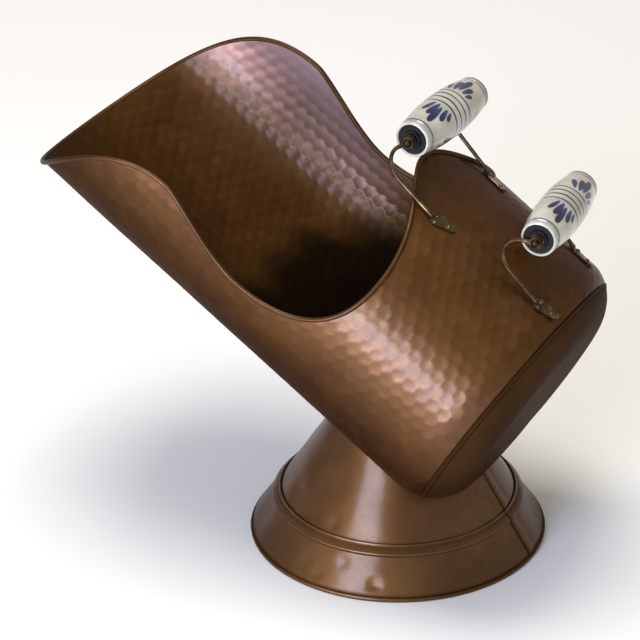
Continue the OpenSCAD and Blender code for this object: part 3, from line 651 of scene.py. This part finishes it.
# the dished back: rings scaled out from the middle of the flat, round the turn, up over the folded
# seam, down the spigot inside the tube and back along the inside to the middle
def backPan():
    f = panForm
    w = girth * np.arange(f["columns"]) / f["columns"]
    seam, high = f["seamAt"], f["foldHigh"]
    foot = seam - f["foldWide"]
    footIn, seamIn = insetAt(foot), insetAt(seam)
    spigotR = turnR - sheet - f["fit"]
    spigotTurn = math.asin((turnFrom - f["spigot"]) / spigotR)
    bottom = turnFrom - turnR
    profile = [(share, turnR, bottom) for share in np.linspace(0, 1, 26)[:-1]]
    profile += turned(turnR, math.pi / 2, math.asin((turnFrom - foot) / turnR), 26)
    # the fold: up from its foot, over its rounded top and down into the seam
    profile += [(1, footIn - 0.15, foot + 0.05), (1, footIn - 0.5 * high, foot + 0.1),
                (1, footIn - high - 0.05, foot + 0.5),
                (1, 0.5 * (footIn + seamIn) - high, 0.5 * (foot + seam)),
                (1, seamIn - high - 0.05, seam - 0.5), (1, seamIn - 0.5 * high, seam - 0.1),
                (1, seamIn + 0.1, seam), (1, seamIn + sheet + f["fit"], seam)]
    profile += turned(spigotR, seamTurn, spigotTurn, 6)[1:]
    insideFrom = len(profile)
    profile += turned(spigotR - sheet, spigotTurn, seamTurn, 6)
    profile += turned(turnR - sheet, seamTurn + 0.05, math.pi / 2, 20)
    profile += [(share, turnR, bottom + sheet) for share in np.linspace(1, 0, 20)[1:]]
    share, inset, s = (np.array(v)[:, None] for v in zip(*profile))
    x, away, t = onOval(w[None, :], inset, s + 0 * w)
    away = away - leanTan * t * np.maximum(0, turnFrom - s) / turnR * (1 - share)
    x, t = x * share, t * share
    # waves over the flat, which fade and turn over on the way up to the fold
    ring = np.where(share < 1, share, 1 + (turnR - np.minimum(inset, turnR)) / 80)
    push = f["wave"] * np.sin(x / 19 + 1) * np.sin(t / 23) * np.minimum(1, (1.3 - ring) * 3)
    for place, out, wide, deep in f["dents"]:
        turn, out = place * 2 * math.pi, out * f["dentSpan"]
        dx, dt = x - halfW * out * math.sin(turn), t - halfH * out * math.cos(turn)
        push = push + deep * np.exp(-(dx ** 2 + dt ** 2) / wide ** 2)
    rings = toWorld(x, away + np.where(s < f["dentFrom"], push, 0), t)
    corner = f["cornerGrime"] * np.exp(-((s - foot) / 0.9) ** 2)
    grimeAndShade = np.where((inset < turnR) & (s > foot - 3.7), corner, 0) + 0 * x
    grimeAndShade = np.maximum(grimeAndShade, f["grimeAndShade"])
    grimeAndShade = np.maximum(grimeAndShade, np.where(np.abs(s - seam) < 0.4, f["seamGrime"], 0))
    # painted shade: the inside of the dish, deep in the tube, is made nearly black
    grimeAndShade[insideFrom:] = f["insideShade"]
    return ringPiece("back_dish", rings, plainCopper, "hod", ["back_pan"],
                     {"grimeAndShade": grimeAndShade}, closed=False)


backPan()

footForm = {
    "columns": 300, "coneRows": 56, "flareRows": 34,
    "footRadius": 122.0, "hemWire": 2.2,
    "hemSink": 0.3,            # how far the hem is flattened on the floor
    "hemUneven": 0.015,        # share of its wire by which it varies
    "hemColumns": 360, "hemSides": 20,
    "beadRadius": 103.6, "beadHigh": 34.0,
    "socketRadius": 97.9, "socketHigh": 40.2,
    "fit": 0.1,                # room between cone and socket
    "seatDrop": 1.6,           # how far below the socket's rim the cone's slope starts
    "topGap": 0.1,             # how far its top edge stays below the tube's skin
    "slope": 0.64,             # how much the cone's radius falls with height
    "coneTops": (45, 135),     # heights between which it meets the tube
    "lapAt": (91.0, 90.0),     # degrees, lap seams of cone and flare
    "lapStep": 0.8,
    "lapFade": (7, 6),         # degrees in which the step of each eases away
    "wave": 0.15,              # slow unevenness
    # place in degrees, height, width and depth in mm
    "dents": [(-42, 52, 9, 0.8), (-58, 20, 10, 0.7), (-75, 60, 12, 0.6), (-15, 15, 6.5, 0.9),
              (-8, 11, 5, 0.7), (17, 12, 4.5, 0.9), (3, 24, 5, 0.5), (-20, 47, 6, 0.7),
              (-8, 45, 5, 0.6), (140, 50, 12, 0.6), (-120, 18, 9, 0.6), (60, 15, 8, 0.5)],
    "dentRadius": 100.0,       # where a dent's width is measured
}


# azimuths round the foot, crowded at the lap seam so that its step stays crisp
def roundSpots(lap):
    count = footForm["columns"]
    even = lap + 360 * np.arange(count) / count
    return np.radians(np.r_[even[0], lap + np.array([0.12, 0.3, 0.6]), even[1:]])


def degreesFrom(turn, place):    # way round from a place, -180 to 180
    return np.mod(np.degrees(turn) - place + 180, 360) - 180


# a lapped sheet edge: a quick step up at the seam, easing away over the next few degrees
def lapRise(turn, lap, fade):
    ahead = np.mod(np.degrees(turn) - lap, 360)
    return footForm["lapStep"] * smooth(0, 0.3, ahead) * (1 - smooth(fade * 0.3, fade, ahead))


# grime held in the lap seam, a bell a degree wide
def lapGrime(turn, lap):
    return 0.8 * np.exp(-(degreesFrom(turn, lap) / 0.5) ** 2)


# how far the sheet is pushed in: two sine waves multiplied, plus a bell for each dent
def footDents(turn, z):
    push = footForm["wave"] * np.sin(5 * turn + z / 14) * np.sin(3 * turn - z / 9 + 1)
    for place, high, wide, deep in footForm["dents"]:
        across = np.radians(degreesFrom(turn, place)) * footForm["dentRadius"]
        push = push + deep * np.exp(-(across ** 2 + (z - high) ** 2) / wide ** 2)
    return push


# rings spun about the foot's upright axis
def spun(r, z, turn):
    return np.stack([r * np.cos(turn), r * np.sin(turn), z + 0 * turn], -1)


# how far a point lies outside the closed tube, less than 0 inside it: the room that the drawn-in
# end leaves at this distance from the seam, less the point's inset from the oval
def outsideTube(point):
    dy, dz = point[..., 1] - tubeForm["seamBack"], point[..., 2] - tubeForm["seamUp"]
    x, s, t = point[..., 0], -riseCos * dy + riseSin * dz, riseSin * dy + riseCos * dz
    s = s - leanTan * t * np.clip((turnFrom - s) / turnR, 0, 1)
    ax, at = np.abs(x), np.abs(t)
    onFlat = np.arctan2(ax, at + flatC) < flatTurn
    inset = np.where(onFlat, flatR - np.hypot(ax, at + flatC), sideR - np.hypot(ax - sideC, at))
    back = np.maximum(0, turnFrom - s)
    room = np.where(back < turnR, turnR - np.sqrt(np.maximum(0, turnR ** 2 - back ** 2)), 1e3)
    return room - inset


# where each upright line of the cone meets the tube, found by halving the gap
def trimHeights(turn, radiusAt):
    low, high = (np.full(turn.shape, float(z)) for z in footForm["coneTops"])
    for halving in range(40):
        z = (low + high) / 2
        out = outsideTube(spun(radiusAt(z), z, turn)) > 0
        low, high = np.where(out, z, low), np.where(out, high, z)
    return low


# the cone: its radius falls evenly with height, from its seat in the socket up to the tube, and it
# comes back down a sheet further in
def footCone():
    f = footForm
    lap, fade = f["lapAt"][0], f["lapFade"][0]
    turn = roundSpots(lap)
    seatR, seatZ = f["socketRadius"] - sheet - f["fit"], f["socketHigh"] - f["seatDrop"]
    wall = sheet * math.hypot(1, f["slope"])

    def coneR(z):
        return seatR - f["slope"] * (z - seatZ)

    topOut = trimHeights(turn, coneR) - f["topGap"]
    topIn = trimHeights(turn, lambda z: coneR(z) - wall) - f["topGap"]
    v = np.linspace(0, 1, f["coneRows"])[:, None]
    outZ = seatZ + (topOut - seatZ) * v
    push = footDents(turn, outZ) * smooth(0, 0.1, v) * (1 - smooth(0.9, 1, v))
    outR = coneR(outZ) - push + lapRise(turn, lap, fade) * smooth(0.02, 0.06, v)
    inZ = (seatZ + (topIn - seatZ) * v[::2])[::-1]
    inR = coneR(inZ) - wall - 0.2
    level = np.ones((1, len(turn)))
    bottom = level * (f["beadHigh"] + 1)
    z = np.concatenate([bottom, outZ, inZ, bottom])
    r = np.concatenate([level * seatR, outR, inR, level * (seatR - sheet)])
    # darker just above the socket, painted shade in a band under the tube, and the inside darker
    shown = 0.4 * (1 - smooth(0, 0.05, v)) + 0.7 * smooth(0.975, 1, v) + 0 * turn
    grimeAndShade = np.concatenate([0 * level, shown, 0.5 + 0 * inZ, 0 * level])
    return ringPiece("foot_cone_sheet", spun(r, z, turn), plainCopper, "hod",
                     ["foot_cone"], {"grimeAndShade": np.maximum(grimeAndShade, lapGrime(turn, lap))}, sharp=45)


# the flare: a straight slope up from the hem, a raised bead, a step in to the socket's round rim,
# and the same back down a sheet further in
def footFlare():
    f = footForm
    lap, fade = f["lapAt"][1], f["lapFade"][1]
    turn = roundSpots(lap)
    bead, beadZ, sock, sockZ = f["beadRadius"], f["beadHigh"], f["socketRadius"], f["socketHigh"]
    lowR, lowZ = f["footRadius"] - f["hemWire"] + sheet / 2, 2 * f["hemWire"] + 0.1
    topR, topZ, rows = bead - 0.8, beadZ - 3, f["flareRows"]
    outer = [(lowR + (topR - lowR) * (h - lowZ) / (topZ - lowZ), h)
             for h in np.linspace(lowZ, topZ, rows)]
    outer += [(bead - 0.55, beadZ - 2.2), (bead - 0.2, beadZ - 1.5), (bead - 0.15, beadZ - 0.8),
              (bead - 0.5, beadZ - 0.1), (bead - 1.2, beadZ + 0.5), (bead - 2.4, beadZ + 1.6),
              (bead - 3.9, beadZ + 3.1), (sock + 0.5, sockZ - 1.9), (sock + 0.1, sockZ - 1.2),
              (sock - 0.05, sockZ - 0.6), (sock - 0.3, sockZ - 0.15), (sock - 0.7, sockZ),
              (sock - sheet + 0.1, sockZ - 0.1), (sock - sheet, sockZ - 0.5), (sock - sheet, sockZ - 2.4),
              (bead - 3.4, beadZ + 0.9), (bead - 2.2, beadZ - 1.4), (bead - 2.3, beadZ - 3)]
    inner = [(r - sheet, h) for r, h in outer[:rows]][::-1]
    r, z = (np.array(v)[:, None] + 0 * turn for v in zip(*(outer + inner[1:])))
    shown = (np.arange(len(r)) < rows + 2)[:, None]    # the slope's outside, with its top edge
    clear = smooth(lowZ, lowZ + 6, z) * (1 - smooth(beadZ - 8, beadZ - 2, z))
    r = r - np.where(shown, footDents(turn, z) * clear, 0)
    r = r + np.where(shown, lapRise(turn, lap, fade), 0)
    # darker in the groove between bead and socket and just above the hem
    grimeAndShade = 0.3 * np.exp(-((z - sockZ + 2.6) / 1.2) ** 2) + 0.5 * np.exp(-((z - lowZ) / 1.2) ** 2)
    return ringPiece("foot_flare_sheet", spun(r, z, turn), plainCopper, "hod",
                     ["foot_flare"], {"grimeAndShade": np.maximum(grimeAndShade, lapGrime(turn, lap))}, sharp=45)


# the hem: a slightly uneven wire ring, flattened where it stands on the floor
def footHem():
    f = footForm
    wire = f["hemWire"]
    turn = 2 * math.pi * np.arange(f["hemColumns"]) / f["hemColumns"]
    a = 2 * math.pi * np.arange(f["hemSides"])[:, None] / f["hemSides"]
    uneven = f["hemUneven"] * (np.sin(9 * turn) - 1)
    r = f["footRadius"] - wire + wire * np.cos(a) * (1 + uneven)
    z = np.maximum(0, wire - f["hemSink"] + wire * np.sin(a) + 0 * turn)
    grimeAndShade = 0.5 * smooth(wire, 2 * wire - 0.2, z)
    return ringPiece("foot_hem_roll", spun(r, z, turn), plainCopper, "hod",
                     ["foot_hem"], {"grimeAndShade": grimeAndShade}, sharp=60)


footCone()
footFlare()
footHem()

rodForm = {
    # x, s, t of the rod's middle, then swing and tilt in degrees
    "front": (-5.0, 181.8, 148.8, 2.1, 0.2),
    "rear": (-10.0, 63.4, 151.3, -4.4, 4.2),
}
gripForm = {
    "half": 51.0,
    "midRadius": 18.9,
    "collarRadius": 14.5,
    "collarWide": 6.0,
    "collarRise": 0.4,       # how far the collar stands over the barrel's end
    "plugRadius": 12.1,
    "plugFit": 0.1,
    "boreRadius": 6.0,
    "plugDeep": 8.1,
    "uneven": 0.12,          # mm, how far the turning is out of true
    "barrelRows": 230,
    "columns": 220,
}


# puts points of a rod's own frame (a along it, y up, z ahead) in the world
def onRod(rod, a, y, z):
    x0, s0, t0, swing, tilt = rodForm[rod]
    b, c = math.radians(-swing), math.radians(tilt)
    x1, z1 = a * math.cos(b) + z * math.sin(b), z * math.cos(b) - a * math.sin(b)
    x2, y2 = x1 * math.cos(c) - y * math.sin(c), x1 * math.sin(c) + y * math.cos(c)
    return toWorld(x0 + x2, s0 + z1, t0 + y2)


paintForm = {
    "rings": (-10.8, -3.7, 3.6, 10.7),     # mm along the grip
    "ringHalf": 1.0,                       # half the width of a ring
    "endRings": (-43.9, 43.9),
    "collarBand": -48.9,                   # the one painted collar
    # petals as start and end, in mm from the middle and degrees from the fan's own middle, and width
    "petals": [(14.0, 19, 26.5, 33, 2.7), (14.5, 6, 31.0, 11, 3.1), (17.0, -5, 37.5, -6, 3.2),
               (15.0, -18, 28.0, -27, 2.8), (14.0, -30, 21.5, -41, 2.3)],
    "petalRadii": (18.2, 17.2),            # the grip's radius at a petal's start and end
    "fullest": 0.56,                       # where a petal is widest, and half its reach
    # degrees round the grip of the fan that looks up, on the right and left half
    "fans": {"front": (11, 22), "rear": (0, -8)},
    "fansRound": 3,
}


# cobalt strokes on a grip: brushed rings round it, and three fans of petals on each half, each
# petal a stroke from a thin start to a full round end; a runs along the grip, turn goes round it
def cobaltOn(rod, a, turn, radius):
    f = paintForm
    ink = np.zeros(np.broadcast(a, turn).shape)
    wash = 0.8 + 0.15 * np.sin(3 * turn) + ink
    for place in f["rings"]:
        wave = 0.3 * np.sin(2 * turn + place) + 0.15 * np.sin(5 * turn + place)
        wide = f["ringHalf"] + 0.16 * np.sin(3 * turn + 2 * place)
        off = np.abs(a - place - wave)
        ink = np.maximum(ink, 0.95 * (1 - smooth(wide - 0.3, wide + 0.25, off)))
    for place in f["endRings"]:
        ink = np.maximum(ink, 0.85 * (1 - smooth(0.6, 1.1, np.abs(a - place))))
    ink = np.maximum(ink, 0.9 * (1 - smooth(1.5, 2.0, np.abs(a - f["collarBand"]))))
    startR, endR = f["petalRadii"]
    strokes = [(side, math.radians(fan + 360 / f["fansRound"] * step), petal)
               for side, fan in zip((1, -1), f["fans"][rod]) for step in range(f["fansRound"])
               for petal in f["petals"]]
    for side, middle, (u0, turn0, u1, turn1, wide) in strokes:
        off = np.mod(turn - middle + math.pi, 2 * math.pi) - math.pi
        v0, v1 = math.radians(turn0) * startR, math.radians(turn1) * endR
        u, v, du, dv = side * a - u0, off * radius - v0, u1 - u0, v1 - v0
        size = math.hypot(du, dv)
        p = (u * du + v * dv) / size ** 2       # share of the way along the petal
        q = np.abs(v * du - u * dv) / size      # mm to its side
        swell = np.sqrt(np.maximum(0, 1 - (np.abs(p - f["fullest"]) / f["fullest"]) ** 2.4))
        shape = wide * swell * (0.55 + 0.5 * np.clip(p, 0, 1))
        stroke = 1 - smooth(-0.35, 0.35, q - shape)
        stroke = np.where((p < -0.05) | (p > 1.15), 0, stroke)
        wash = np.where(stroke > ink, 0.35 + 0.6 * smooth(0.1, 0.9, p), wash)
        ink = np.maximum(ink, stroke)
    return ink, wash


# the porcelain grip turned about its rod: bore, plug seat, end face, rounded collar, a barrel that
# is one arc, and the same again to the other end
def gripPiece(rod):
    f = gripForm
    half, mid, end = f["half"], f["midRadius"], f["collarRadius"]
    reach = half - f["collarWide"]
    drop = mid - end - f["collarRise"]
    arc = (reach ** 2 + drop ** 2) / (2 * drop)
    a = np.linspace(-reach + 0.3, reach - 0.3, f["barrelRows"])
    barrel = list(zip(a, mid - arc + np.sqrt(arc ** 2 - a ** 2)))
    seat, bottom = f["plugRadius"] + f["plugFit"], half - f["plugDeep"]
    collar = [(bottom, f["boreRadius"]), (bottom, seat), (half - 1.2, seat), (half - 0.5, seat + 0.25),
              (half - 0.1, seat + 0.8), (half - 0.35, end - 0.55), (half - 1.0, end - 0.12),
              (half - 2.0, end), (reach + 1.6, end), (reach + 1.0, end - 0.15),
              (reach + 0.55, end - 0.6), (reach + 0.2, end - 0.55)]
    profile = [(-p, r) for p, r in collar] + barrel + collar[::-1]
    a, r = (np.array(v)[:, None] for v in zip(*profile))
    turn = 2 * math.pi * np.arange(f["columns"]) / f["columns"]
    outside = r > seat + 1
    uneven = np.abs(f["uneven"] * np.sin(2 * turn + 1) * np.cos(a / 20))
    r = r - np.where(outside, uneven, 0)
    ink, wash = cobaltOn(rod, a, turn, r)
    return ringPiece(rod + "_grip_glazed", onRod(rod, a + 0 * turn, r * np.cos(turn), r * np.sin(turn)),
                     porcelain, rod + "_roll", [rod + "_grip"],
                     {"cobalt": np.where(outside, ink, 0), "wash": wash})


gripPiece("front")
gripPiece("rear")

# finishes of the nodes that stay as the CAD made them, by a word of their names
finishOf = {"arm": brass, "rivets": brass, "plug": plugBlack, "rod": darkBrass, "washers": darkBrass}
for name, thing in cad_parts.items():
    for word in name.split("_"):
        for spot in thing.material_slots if word in finishOf else []:
            spot.material = finishOf[word]
print("finishes given to the kept CAD nodes")

stageForm = {
    "floor": 14.0,                             # m across
    "eye": (2.5370646, 1.2775637, 1.7222794),  # the camera's place in m
    "azimuth": 28.0,                           # degrees, the way from the object to the camera
    "elevation": 28.3,
    "roll": -0.5,
    "lens": 225, "sensor": 36,                 # mm
    "farthest": 60,                            # m
    # soft boxes: name, place and aim in m, width, height, watts, colour
    "lamps": [("window", (3.3, -0.08, 0.62), (0, 0, 0.26), 1.2, 1.15, 96, "D0DEFA"),
              ("fanlight", (3.0, -0.36, 1.88), (0, 0, 0.1), 1.55, 0.55, 44, "CCDAFC"),
              ("reflector", (3.1, -1.15, 0.4), (0, 0, 0.26), 1.2, 0.8, 30, "F2E0EA"),
              ("overhead", (0.1, -0.35, 3.3), (0, 0, 0), 1.5, 1.5, 64, "FFFAF2")],
    "sky": ("F4F1EC", 0.5),
}


# sets a lamp or camera at a place with its back turned to the way given: right is level, up is
# square to both, and roll turns them about the way
def setUp(name, data, place, way, roll=0.0):
    way = np.array(way) / np.linalg.norm(way)
    level = np.cross([0, 0, 1], way)
    level = level / np.linalg.norm(level)
    upright = np.cross(way, level)
    c, n = math.cos(roll), math.sin(roll)
    turn = np.column_stack([c * level + n * upright, c * upright - n * level, way, place])
    thing = bpy.data.objects.new(name, data)
    bpy.context.scene.collection.objects.link(thing)
    thing.matrix_world = Matrix([list(row) for row in turn] + [[0, 0, 0, 1]])
    return thing


# white paper floor, soft boxes, a pale sky and the camera
def studio():
    f = stageForm
    half = f["floor"] / 2
    mesh = bpy.data.meshes.new("floor")
    mesh.from_pydata([(-half, -half, 0), (half, -half, 0), (half, half, 0), (-half, half, 0)], [],
                     [(0, 1, 2, 3)])
    floor = bpy.data.objects.new("floor", mesh)
    bpy.context.scene.collection.objects.link(floor)
    # matt white studio paper: even and without shine, a little warm
    paper, tree = newMaterial("Matt white studio paper")
    matt = addNode(tree, "ShaderNodeBsdfPrincipled", {"Base Color": hexColour("F4F3F0"),
                   "Roughness": 0.9})
    addNode(tree, "ShaderNodeOutputMaterial", {"Surface": matt})
    mesh.materials.append(paper)
    for name, place, aim, wide, high, watts, tint in f["lamps"]:
        lamp = bpy.data.lights.new(name, "AREA")
        lamp.shape, lamp.size, lamp.size_y, lamp.energy = "RECTANGLE", wide, high, watts
        lamp.color = hexColour(tint)[:3]
        setUp(name, lamp, place, np.array(place) - np.array(aim))
    world = bpy.data.worlds.new("studio")
    world.use_nodes = True
    bpy.context.scene.world = world
    ground = world.node_tree.nodes["Background"]
    ground.inputs["Color"].default_value = hexColour(f["sky"][0])
    ground.inputs["Strength"].default_value = f["sky"][1]
    lens = bpy.data.cameras.new("photo camera")
    lens.lens, lens.sensor_width, lens.clip_end = f["lens"], f["sensor"], f["farthest"]
    turn, lift = math.radians(f["azimuth"]), math.radians(f["elevation"])
    way = (math.cos(lift) * math.cos(turn), math.cos(lift) * math.sin(turn), math.sin(lift))
    bpy.context.scene.camera = setUp("photo camera", lens, f["eye"], way, math.radians(f["roll"]))
    bpy.context.scene.view_settings.view_transform = "Standard"
    print("floor, lamps and camera set")


studio()
